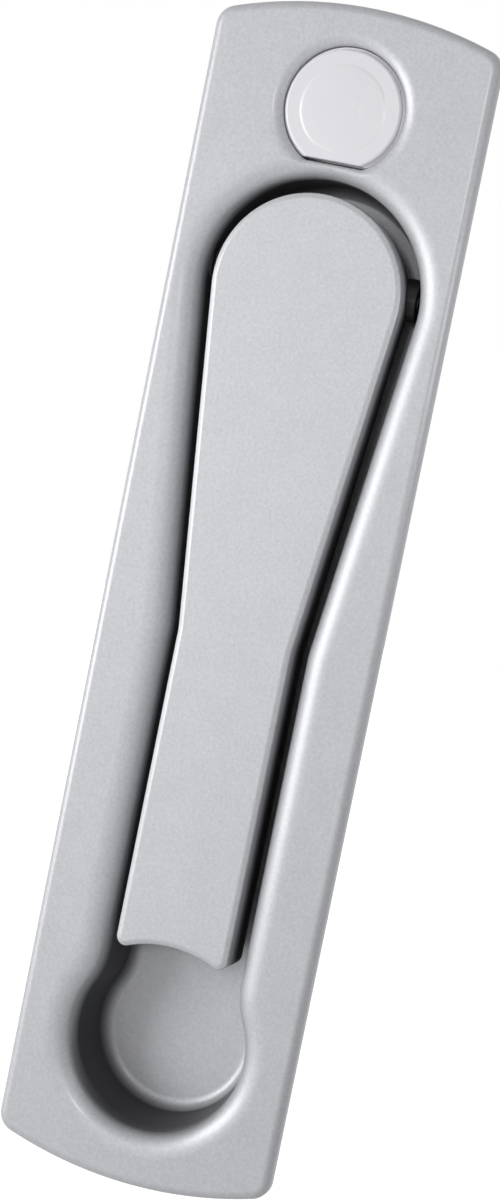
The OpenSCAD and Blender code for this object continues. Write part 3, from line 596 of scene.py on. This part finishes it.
def makeFacePlate():
    p = plateShape
    bm = bmesh.new()
    steps = smooth["round"]
    # per-vertex painted shade of the face plate
    bm.verts.layers.float.new("paintedShade")
    # past this slope the shoulder is lofted, before it the front is filled
    steep = math.radians(p["steepDeg"])

    # painted shade: darker with depth down the tub's walls, starting nearer the face low in the dish
    def paintedShadeAt(point):
        _, y, z = point
        low = min(max((dishY - y) / p["dishR"], 0.0), 1.0)
        start = p["paintedShadeFrom"] - p["paintedShadeLow"] * low
        return min(max((-z - start) / p["paintedShadeOver"], p["paintedShadeFace"]), p["paintedShadeMost"])

    # painted shade round the floor's edge: it fades out, sooner on the side that faces the light, late beside
    # the head
    def paintedShadeFoot(a):
        def share(point):
            x, y, _ = point
            side = min(max(0.5 - p["fadeTilt"] * x / p["dishR"], 0.0), 1.0)
            beside = min(max((y - headY + p["paintedShadeReach"]) / p["paintedShadeBlend"], 0.0), 1.0)
            power = (p["fadeLit"] - p["fadeSpan"] * side) * (1 - beside) + p["fadeHead"] * beside
            return p["paintedShadeMost"] * max(0.0, 1 - a / (math.pi / 2)) ** power
        return share

    # outer edge, from the front's rim round to the back
    rim = [lifted(plateOutline(-p["edgeR"] - support), 0)]
    rim += [lifted(plateOutline(-p["edgeR"] * (1 - math.sin(a))), -p["edgeR"] * (1 - math.cos(a)))
            for a in quarterSteps(steps)]
    backR = p["backEdgeR"]
    rim += [lifted(plateOutline(-backR * (1 - math.cos(a))), -p["flange"] + backR * (1 - math.sin(a)))
            for a in quarterSteps(smooth["edge"])]
    rim += [lifted(plateOutline(-backR - support), -p["flange"])]
    # the face and outer edge carry a slight even painted shade
    rimRings = loft(bm, rim, [p["paintedShadeFace"]] * len(rim))

    # tub, from its shoulder down to the floor
    turnZ = p["depth"] - p["floorR"]
    fall = [steep + (math.pi / 2 - steep) * k / smooth["fall"] for k in range(smooth["fall"] + 1)]
    inner = [lifted(tubOutline(p["shoulderR"] * (1 - math.sin(a))), -p["shoulderH"] * (1 - math.cos(a)))
             for a in fall]
    wallTop = inner[-1]
    wallFoot = lifted(footOutline(-p["draft"]), -turnZ)
    for share in (0.25, 0.5, 0.75):
        inner.append([tuple(a + (b - a) * share for a, b in zip(u, v)) for u, v in zip(wallTop, wallFoot)])
    shades = [paintedShadeAt] * len(inner)
    inner += [lifted(footOutline(-p["draft"] - p["floorR"] * (1 - math.cos(a))),
                     -turnZ - p["floorR"] * math.sin(a)) for a in quarterSteps(steps)]
    shades += [paintedShadeFoot(a) for a in quarterSteps(steps)]
    inner += [lifted(footOutline(-p["draft"] - p["floorR"] - support), -p["depth"])]
    innerRings = loft(bm, inner, shades + [0.0])
    bm.faces.new(innerRings[-1])

    # button hole
    b = buttonShape
    lip = b["lipR"]
    lipZ = frontHeight(p["shoulderR"], lip)
    hole = [lifted(holeOutline(lip), lipZ)]
    hole += [lifted(holeOutline(lip * (1 - math.sin(a))), lipZ - b["lipDrop"] - lip * (1 - math.cos(a)))
             for a in quarterSteps(smooth["lip"])[2:]]
    hole += [lifted(holeOutline(0), -p["flange"])]
    holeRings = loft(bm, hole)

    # front between them, with the points of both rollings
    gentle = [steep * k / smooth["front"] for k in range(smooth["front"])]
    rolled = [lip + (b["rimW"] - lip) * k / smooth["rim"] for k in range(1, smooth["rim"] + 1)]
    points = []
    tubReach = p["shoulderR"] * (1 - math.sin(steep))
    clear = 0.08  # points of one rolling keep this far from the edge of the other
    for gap in [p["shoulderR"] + support] + [p["shoulderR"] * (1 - math.sin(a)) for a in gentle]:
        for x, y in tubOutline(gap):
            away = gapToHole(x, y)
            if away > lip + clear:
                points.append((x, y, frontHeight(gap, away)))
    for gap in [b["rimW"] + support] + rolled:
        for x, y in holeOutline(gap):
            away = gapToHead(x, y)
            if away > tubReach + clear:
                points.append((x, y, frontHeight(away, gap)))
    extra = addRing(bm, points, paintedShadeAt)
    fillBetween(bm, rimRings[0], [innerRings[0], holeRings[0]], extra)

    # tub from outside, and the back of the flange around it
    bendR = p["bendR"]
    foot = p["wall"] - p["draft"] - bendR
    bendZ = p["depth"] + p["wall"] - bendR
    slope = p["draft"] / (bendZ - p["flange"] / 2)
    outer = [lifted(tubOutline(p["wall"] - slope * p["flange"] / 2), -p["flange"])]
    outer += [lifted(tubOutline(foot + bendR * math.cos(a)), -bendZ - bendR * math.sin(a))
              for a in quarterSteps(steps)]
    outer += [lifted(tubOutline(foot - support), -p["depth"] - p["wall"])]
    outerRings = loft(bm, outer)
    bm.faces.new(outerRings[-1])
    fillBetween(bm, rimRings[-1], [outerRings[0], holeRings[-1]])

    addGuide(bm)
    addBosses(bm)
    finished(bm, "facePlate", looks["silverPaint"], "housing", "face_plate")


guideShape = {"wall": 1.6, "height": 4.5, "edge": 0.25, "clear": 0.03, "rootIn": 0.6}


# sleeve that guides the button behind the flange
def addGuide(bm):
    b, g = buttonShape, guideShape
    top = -plateShape["flange"] + g["rootIn"]
    end = -plateShape["flange"] - g["height"]
    edge, inside = g["edge"], g["clear"]

    def outside(d, z):
        flat = b["flat"] + plateShape["wall"] / 2
        return lifted(flattedOutline(b["holeR"] + g["wall"] - d, flat, b["cornerR"]), z)

    made = loft(bm, [
        lifted(holeOutline(inside), top), lifted(holeOutline(inside), end + edge),
        lifted(holeOutline(inside + edge), end), outside(edge, end), outside(0, end + edge), outside(0, top)])
    bridge(bm, made[-1], made[0])


bosses = {
    "fixHalf": 28.0, "fixR": 4.2, "fixH": 4.7, "fixBore": 1.65, "fillet": 0.7, "edge": 0.3,
    "spineW": 3.0, "spineH": 1.6, "rootIn": 0.4,
    "postR": 2.3, "postBore": 1.25, "postEnd": 13.3, "postFillet": 0.4, "postEdge": 0.2,
    "posts": ((12.8, -9.0), (10.0, 8.8)), "boreEdge": 0.6,
}


# profile of a bored post of height h, with a fillet where it leaves its wall
def boredProfile(r, bore, h, fillet, edge):
    rise = [(r + fillet * (1 - math.sin(a)), fillet * (1 - math.cos(a)))
            for a in quarterSteps(smooth["fillet"])]
    half, mouth = edge * roundIn, edge * bosses["boreEdge"]
    return ([(r + fillet, -bosses["rootIn"])] + rise + [(r, h - edge), (r - half, h - half), (r - edge, h),
            (bore + mouth, h), (bore, h - mouth), (bore, edge)])


def addBosses(bm):
    s = bosses
    back = -plateShape["depth"] - plateShape["wall"]
    fixing = boredProfile(s["fixR"], s["fixBore"], s["fixH"], s["fillet"], s["edge"])
    for side in (-1, 1):
        closedLoft(bm, turned((0, side * s["fixHalf"], back), (0, 0, -1), fixing))

    # spine between the two fixing bosses
    half, reach, height = s["spineW"] / 2, s["fixHalf"], s["spineH"]
    fillet, edge = s["fillet"], s["edge"]
    spine = []
    for grow, h in ((fillet, -s["rootIn"]), (fillet, 0), (fillet * roundIn, fillet * roundIn), (0, fillet),
                    (0, height - edge), (-edge * roundIn, height - edge * roundIn), (-edge, height)):
        w = half + grow
        spine.append([(x, y, back - h) for x, y in ((w, reach), (w, -reach), (-w, -reach), (-w, reach))])
    closedLoft(bm, spine)

    # posts for the screws of the latch case
    h = s["postEnd"] - plateShape["flange"]
    post = boredProfile(s["postR"], s["postBore"], h, s["postFillet"], s["postEdge"])
    for x, y in s["posts"]:
        for side in (-1, 1):
            closedLoft(bm, turned((side * x, buttonY + y, -plateShape["flange"]), (0, 0, -1), post))

    # bosses through the tub's sides that hold the pin, with full painted shade at their inner ends in the gap
    r, edge, length, bore = pinShape["bossR"], pinShape["bossEdge"], pinShape["bossL"], pinShape["bore"]
    inner = headR + leverShape["gap"] - pinShape["bossStand"]
    for side in (-1, 1):
        base = (side * (inner + length), pinY, -pinShape["depth"])
        profile = [(bore, 0), (r, 0), (r, length - edge), (r - edge, length), (bore, length)]
        made = loft(bm, turned(base, (-side, 0, 0), profile), [0.0, 0.0, 1.0, 1.0, 1.0])
        bridge(bm, made[-1], made[0])


makeFacePlate()


# lower edge of the lever's skirt: cut in a slope towards the nose and notched over each bush
def skirtFoot(x, y):
    s = leverShape
    foot = -s["skirt"]
    startY, noseY = headY - s["reliefBack"], headY + headR
    if y > startY:
        foot += (y - startY) / (noseY - startY) * (s["proud"] - s["noseT"] + s["skirt"])
    across = abs(y - pinY)
    if across < s["notchR"] and abs(x) > headR / 2:
        foot = max(foot, -pinShape["depth"] + math.sqrt(s["notchR"] ** 2 - across ** 2))
    return foot


# the lever's top edge, as (way out, drop): a soft crease, a sloping band and a small round
def leverEdge():
    s = leverShape
    tilt = math.radians(s["edgeTiltDeg"])
    creaseSteps, roundSteps = 4, 6
    crease = [tilt * k / creaseSteps for k in range(creaseSteps + 1)]
    points = [(s["creaseR"] * math.sin(a), s["creaseR"] * (1 - math.cos(a))) for a in crease]
    out, drop = points[-1][0] + s["bandW"], points[-1][1] + s["bandW"] * math.tan(tilt)
    for k in range(roundSteps + 1):
        a = tilt + (math.pi / 2 - tilt) * k / roundSteps
        points.append((out + s["edgeR"] * (math.sin(a) - math.sin(tilt)),
                       drop + s["edgeR"] * (math.cos(tilt) - math.cos(a))))
    return points


def makeLever():
    s = leverShape
    bm = bmesh.new()
    # per-vertex painted shade of the lever
    bm.verts.layers.float.new("paintedShade")
    top, under = s["proud"], s["proud"] - s["topT"]

    # painted shade on the sides, which lie in the gap: darker with depth
    def paintedShadeAt(point):
        return min(max((-point[2] - s["paintedShadeFrom"]) / s["paintedShadeOver"], 0.0), s["paintedShadeMost"])

    footR = s["footR"]
    profile = leverEdge()
    edgeW = profile[-1][0]
    rings = [lifted(leverOutline(-edgeW - support, s["cornerR"] - edgeW - support), top)]
    rings += [lifted(leverOutline(out - edgeW, s["cornerR"] + out - edgeW), top - drop)
              for out, drop in profile]
    skirt = leverOutline(0, s["cornerR"])
    foot = [skirtFoot(x, y) for x, y in skirt]
    for share in (0.25, 0.4, 0.6, 0.8):
        rings.append([(x, y, share * f) for (x, y), f in zip(skirt, foot)])
    for a in quarterSteps(smooth["edge"]):
        ring = leverOutline(-footR * (1 - math.cos(a)), s["cornerR"] - footR * (1 - math.cos(a)))
        rings.append([(x, y, f + footR * (1 - math.sin(a))) for (x, y), f in zip(ring, foot)])
    shades = [paintedShadeAt] * len(rings)
    for a in quarterSteps(smooth["edge"]):
        ring = leverOutline(-s["skirtT"] + footR * (1 - math.sin(a)), s["insideCorner"])
        rings.append([(x, y, f + footR * (1 - math.cos(a))) for (x, y), f in zip(ring, foot)])
    fillet = s["insideFillet"]
    for a in quarterSteps(smooth["fillet"]):
        ring = leverOutline(-s["skirtT"] - fillet * (1 - math.cos(a)), s["insideCorner"])
        rings.append([(x, y, under - min(fillet, (under - f) * s["filletMost"]) * (1 - math.sin(a)))
                      for (x, y), f in zip(ring, foot)])
    # the hollow inside carries a mid painted shade
    closedLoft(bm, rings, shades + [s["paintedShadeInside"]] * (len(rings) - len(shades)))

    # cross ribs that land on the stop pads, with the same painted shade as the inside
    root, low, edge, half = under + s["rootIn"], -s["skirt"], s["ribEdge"], s["ribT"] / 2
    for y in (tailY + s["ribFromTail"], taperEndY + s["ribFromTaper"]):
        wide = grip - s["skirtT"] + s["ribOver"]
        if y > taperEndY:
            wide += (headR - grip) * (y - taperEndY) / (headY - taperEndY)
        section = [(y - half, root), (y - half, low + edge), (y - half + edge, low),
                   (y + half - edge, low), (y + half, low + edge), (y + half, root)]
        closedLoft(bm, [[(x, v, z) for v, z in section] for x in (-wide, wide)], [s["paintedShadeInside"]] * 2)

    # lugs that hold the bushes
    out, edge = headR - s["lugInset"], s["lugEdge"]
    inner = out - s["lugW"]
    turns = [2 * math.pi * k / smooth["lug"] for k in range(smooth["lug"])]
    for side in (-1, 1):
        rings = []
        for bored, x, grow in ((False, inner, -edge), (False, inner + edge, 0), (False, out, 0),
                               (True, out, 0), (True, inner, 0)):
            ring = []
            for a in turns:
                v, w = math.cos(a), math.sin(a)
                reach = s["lugR"] + grow
                if w > 0:  # upper half: straight sides up to the top wall
                    reach = min(reach / max(abs(v), 1e-6), (pinShape["depth"] + root) / w)
                size = s["lugBore"] if bored else reach
                ring.append((side * x, pinY + v * size, -pinShape["depth"] + w * size))
            rings.append(ring)
        made = loft(bm, rings)
        bridge(bm, made[-1], made[0])
    finished(bm, "leverHandle", looks["silverPaint"], "lever", "lever")


makeLever()


def makeButton():
    b = buttonShape
    bm = bmesh.new()
    capR, capFlat, corner = b["holeR"] - b["gap"], b["flat"] - b["gap"], b["cornerR"] - b["cornerIn"]
    skirtR, skirtFlat = b["holeR"] - b["play"], b["flat"] - b["play"]
    rimZ, flange = -b["sunk"], plateShape["flange"]

    def cap(d, z):
        return lifted(flattedOutline(capR + d, capFlat + d, corner + d), z)

    # a ring as round as the disc, with its points in line with those of the cap's outline
    def disc(r, z):
        ring = []
        for x, y in flattedOutline(capR - b["edgeR"], capFlat - b["edgeR"], corner):
            away = math.hypot(x, y - buttonY)
            ring.append((x / away * r, buttonY + (y - buttonY) / away * r, z))
        return ring

    rings = []
    for k in range(1, smooth["disc"] + 1):
        r = b["discR"] * k / smooth["disc"]
        rings.append(disc(r, rimZ + b["discH"] + b["crown"] * (1 - (r / b["discR"]) ** 2)))
    for k in range(1, smooth["step"] + 1):  # soft step from the disc down to the rim
        t = k / smooth["step"]
        rings.append(disc(b["discR"] + b["stepW"] * t, rimZ + b["discH"] * (1 - t * t * (3 - 2 * t))))
    rings += [cap(-b["edgeR"] - support / 2, rimZ)]
    rings += [cap(-b["edgeR"] * (1 - math.sin(a)), rimZ - b["edgeR"] * (1 - math.cos(a)))
              for a in quarterSteps(smooth["cap"])]
    ledge = b["gap"] - b["ledge"]  # shallow ledge that closes the gap around the cap

    def wide(z):  # the ledge follows the round side alone
        return lifted(flattedOutline(capR + ledge, capFlat + b["ledgeFlat"], corner), z)

    def skirt(r, z, inside=0.0):
        return lifted(flattedOutline(r - inside, skirtFlat - inside, corner), z)

    rear, edge = -b["back"], b["rearEdge"]
    rings += [cap(0, -b["ledgeZ"]), wide(-b["ledgeZ"] - b["ledgeFall"]), wide(-flange),
              skirt(skirtR, -flange - b["skirtFall"]), skirt(skirtR, rear + b["flangeT"]),
              skirt(b["flangeR"], rear + b["flangeT"]), skirt(b["flangeR"], rear + edge),
              skirt(b["flangeR"], rear, edge)]
    made = loft(bm, rings)
    bm.faces.new(made[0])

    # pockets for the springs and the wedge in the button's back
    pockets = []
    for side in (-1, 1):
        ring = arc(0, buttonY + side * b["springY"], b["pocketR"], 0, 360, smooth["turned"])[:-1]
        pockets.append(loft(bm, [lifted(ring, rear), lifted(ring, -flange)]))
    x0, x1, half = b["slotX"], b["slotX"] + b["slotW"], b["slotT"] / 2
    slot = [(x0, buttonY - half), (x1, buttonY - half), (x1, buttonY + half), (x0, buttonY + half)]
    pockets.append(loft(bm, [lifted(slot, rear), lifted(slot, -flange)]))
    for pocket in pockets:
        bm.faces.new(pocket[-1])
    fillBetween(bm, made[-1], [pocket[0] for pocket in pockets])
    finished(bm, "releaseButton", looks["whitePlastic"], "button", "release_button")


makeButton()

gasketShape = {"inset": 0.5, "width": 1.9, "thick": 1.2, "edge": 0.35}


def makeGasket():
    g = gasketShape
    bm = bmesh.new()
    front = -plateShape["flange"]
    e, w, t = g["edge"], g["width"], g["thick"]
    mid = e * roundIn
    section = [(0, 0), (0, e - t), (-mid, mid - t), (-e, -t),
               (e - w, -t), (mid - w, mid - t), (-w, e - t), (-w, 0)]
    made = loft(bm, [lifted(plateOutline(d - g["inset"]), front + z) for d, z in section])
    bridge(bm, made[-1], made[0])
    finished(bm, "doorGasket", looks["blackRubber"], "housing", "door_gasket")


makeGasket()

springShapes = {
    "button": {"r": 1.65, "wire": 0.5, "turns": 8, "from": 13.28, "to": 3.22, "stroke": 4.0},
    "bolt": {"r": 1.5, "wire": 0.5, "turns": 8, "from": 2.02, "to": 13.28, "stroke": 6.0, "z": -16.6},
    "lever": {"r": 2.05, "wire": 0.6, "turns": 8.5, "half": 8.4, "leg": 14.0, "climb": 2.85, "drop": 3.55},
}
closedTurn = 0.9  # part of the first and the last turn that lies flat
coilSteps, legSteps = 40, 8
wireSharpDeg = 60


# share of the height that a spring with closed ends has reached after part of its turns
def coilRise(t, turns, wireD, length):
    closed = closedTurn / turns
    flatPart = wireD / (length - wireD) * closedTurn
    if t < closed:
        return flatPart * t / closed
    if t > 1 - closed:
        return 1 - flatPart * (1 - t) / closed
    return flatPart + (1 - 2 * flatPart) * (t - closed) / (1 - 2 * closed)


def coilPath(centre, axis, side, r, wireD, turns, length):
    centre, axis, side = Vector(centre), Vector(axis), Vector(side)
    other = axis.cross(side)
    count = int(turns * coilSteps)
    path = []
    for k in range(count + 1):
        t = k / count
        a = 2 * math.pi * turns * t
        rise = wireD / 2 + (length - wireD) * coilRise(t, turns, wireD, length)
        path.append(centre + axis * rise + (side * math.cos(a) + other * math.sin(a)) * r)
    return path


def makeSprings():
    s = springShapes["button"]
    length = s["from"] - s["to"]
    bm = bmesh.new()
    for side in (-1, 1):
        base = (0, buttonY + side * buttonShape["springY"], -s["from"])
        wire(bm, coilPath(base, (0, 0, 1), (1, 0, 0), s["r"], s["wire"], s["turns"], length), s["wire"] / 2)
    pair = finished(bm, "buttonSprings", looks["springWire"], "housing", "button_springs",
                    wireSharpDeg)
    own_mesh(pair)

    s = springShapes["bolt"]
    length = s["to"] - s["from"]
    bm = bmesh.new()
    base = (s["from"], buttonY, s["z"])
    wire(bm, coilPath(base, (1, 0, 0), (0, 1, 0), s["r"], s["wire"], s["turns"], length), s["wire"] / 2)
    single = finished(bm, "boltSpring", looks["springWire"], "bolt", "bolt_spring",
                      wireSharpDeg)
    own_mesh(single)

    # one leg stays on the tub's floor and the other goes with the lever, so the coil winds between them
    s = springShapes["lever"]
    base = (-s["half"], pinY, -pinShape["depth"])
    coil = coilPath(base, (1, 0, 0), (0, 0, 1), s["r"], s["wire"], s["turns"], 2 * s["half"])
    upper = coil[0] + Vector((0, -s["leg"], s["climb"]))
    lower = coil[-1] + Vector((0, -s["leg"], -s["drop"]))
    path = ([upper.lerp(coil[0], k / legSteps) for k in range(legSteps)] + coil
            + [coil[-1].lerp(lower, k / legSteps) for k in range(1, legSteps + 1)])
    bm = bmesh.new()
    wire(bm, path, s["wire"] / 2)
    spring = finished(bm, "leverSpring", looks["springWire"], None, "lever_spring",
                      wireSharpDeg)
    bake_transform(spring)


makeSprings()

# CAD nodes that keep their shape: finish, and width of the rounding on their edges in millimetres
cadFinish = {
    "hinge_pin": ("brightSteel", 0.2),
    "lever_bush_left": ("blackAcetal", 0.15),
    "lever_bush_right": ("blackAcetal", 0.15),
    "stop_pads": ("blackRubber", 0.3),
    "button_plunger": ("zincPlate", 0.2),
    "button_seat": ("zincPlate", 0.2),
    "latch_case": ("zincPlate", 0.25),
    "case_screws": ("brightSteel", 0.12),
    "screw_washers": ("brightSteel", 0.08),
    "bolt_liner": ("blackAcetal", 0.08),
    "latch_bolt": ("brightSteel", 0.25),
    "bolt_rod": ("brightSteel", 0.12),
    "bolt_rod_clip": ("springWire", 0.08),
}
cadEdge = {"joinWithin": 2e-6, "segments": 3, "sharpDeg": 40}


def dressCadNodes():
    for name, (look, edge) in cadFinish.items():
        piece = nodes[name]
        piece.data.materials.clear()
        piece.data.materials.append(looks[look])
        piece.data.polygons.foreach_set("use_smooth", [True] * len(piece.data.polygons))
        weld = piece.modifiers.new("joined", "WELD")
        weld.merge_threshold = cadEdge["joinWithin"]
        bevel = piece.modifiers.new("rounded", "BEVEL")
        bevel.width = edge * mm
        bevel.segments = cadEdge["segments"]
        bevel.limit_method = "ANGLE"
        bevel.angle_limit = math.radians(cadEdge["sharpDeg"])
        bevel.harden_normals = True
        shade = piece.modifiers.new("even", "WEIGHTED_NORMAL")
        shade.keep_sharp = True
    print("CAD nodes dressed:", len(cadFinish))


dressCadNodes()

# camera in plate terms, lamps by direction, floor below everything
view = {
    "place": (126.1, 44.53, 439.2), "aim": (1.085, 0.9, 0.0), "rollDeg": -11.48,
    "lens": 96.83, "sensor": 36.0,
}
lamps = {
    "key": {"from": (-0.78, -0.06, 0.62), "away": 0.38, "size": 0.2, "watts": 1.02, "aim": (0, 22, 0)},
    "front": {"from": (0.1, 0.14, 1.0), "away": 0.9, "size": 0.1, "watts": 0.98, "aim": (0, 15, 0)},
    "side": {"from": (0.9, 0.12, 0.4), "away": 0.085, "size": 0.03, "watts": 0.014, "aim": (14, 34, 0)},
}
surround = {
    "ambient": 0.22, "floorDrop": 0.75, "floorHalf": 8.0,
    "floorTone": 0.9, "floorRough": 0.9, "floorGlow": 1.0,
}


def makeCamera():
    place, aim = toRow(view["place"]), toRow(view["aim"])
    forward = (aim - place).normalized()
    level = forward.cross(Vector((0, 0, 1))).normalized()
    upright = level.cross(forward)
    roll = math.radians(view["rollDeg"])
    up = upright * math.cos(roll) + level * math.sin(roll)
    right = forward.cross(up)
    data = bpy.data.cameras.new("camera")
    data.lens = view["lens"]
    data.sensor_width = view["sensor"]
    data.clip_start, data.clip_end = 0.01, 50
    camera = bpy.data.objects.new("camera", data)
    turn = Matrix((right, up, -forward)).transposed().to_4x4()
    camera.matrix_world = Matrix.Translation(place) @ turn
    bpy.context.scene.collection.objects.link(camera)
    bpy.context.scene.camera = camera


def makeLamps():
    for name, s in lamps.items():
        x, y, z = s["from"]
        away = Vector((x, -z, y)).normalized()
        data = bpy.data.lights.new(name, "AREA")
        data.energy = s["watts"]
        data.size = s["size"]
        lamp = bpy.data.objects.new(name, data)
        lamp.location = toRow(s["aim"]) + away * s["away"]
        lamp.rotation_mode = "QUATERNION"
        lamp.rotation_quaternion = (-away).to_track_quat("-Z", "Y")
        lamp.visible_camera = False
        bpy.context.scene.collection.objects.link(lamp)


# 1 for rays that look at the surroundings: straight, mirrored or through glass
def seenRays(tree):
    rays = addNode(tree, "ShaderNodeLightPath")
    seen = rays.outputs["Is Camera Ray"]
    for other in ("Is Glossy Ray", "Is Transmission Ray"):
        either = addNode(tree, "ShaderNodeMath", operation="MAXIMUM")
        tree.links.new(seen, either.inputs[0])
        tree.links.new(rays.outputs[other], either.inputs[1])
        seen = either.outputs["Value"]
    return seen


def makeSurround():
    s = surround
    world = bpy.data.worlds.new("studio")
    world.use_nodes = True
    bpy.context.scene.world = world
    tree = world.node_tree
    background = tree.nodes["Background"]
    background.inputs["Color"].default_value = (1, 1, 1, 1)
    level = addNode(tree, "ShaderNodeMapRange", {"To Min": s["ambient"], "To Max": 1.0})
    tree.links.new(seenRays(tree), level.inputs["Value"])
    tree.links.new(level.outputs["Result"], background.inputs["Strength"])

    bm = bmesh.new()
    z = cadLow.z - s["floorDrop"]
    h = s["floorHalf"]
    bm.faces.new([bm.verts.new((x, y, z)) for x, y in ((-h, -h), (h, -h), (h, h), (-h, h))])
    mesh = bpy.data.meshes.new("floor")
    bm.to_mesh(mesh)
    bm.free()
    material, tree, shader = newMaterial("paleFloor")
    shader.inputs["Base Color"].default_value = grey(s["floorTone"])
    shader.inputs["Roughness"].default_value = s["floorRough"]
    shader.inputs["Specular IOR Level"].default_value = 0.0
    shader.inputs["Emission Color"].default_value = (1, 1, 1, 1)
    glow = addNode(tree, "ShaderNodeMath", operation="MULTIPLY")
    glow.inputs[1].default_value = s["floorGlow"]
    tree.links.new(seenRays(tree), glow.inputs[0])
    tree.links.new(glow.outputs["Value"], shader.inputs["Emission Strength"])
    mesh.materials.append(material)
    floor = bpy.data.objects.new("floor", mesh)
    bpy.context.scene.collection.objects.link(floor)


makeCamera()
makeLamps()
makeSurround()
bpy.context.scene.view_settings.view_transform = "Standard"
print("camera, lamps and floor made")
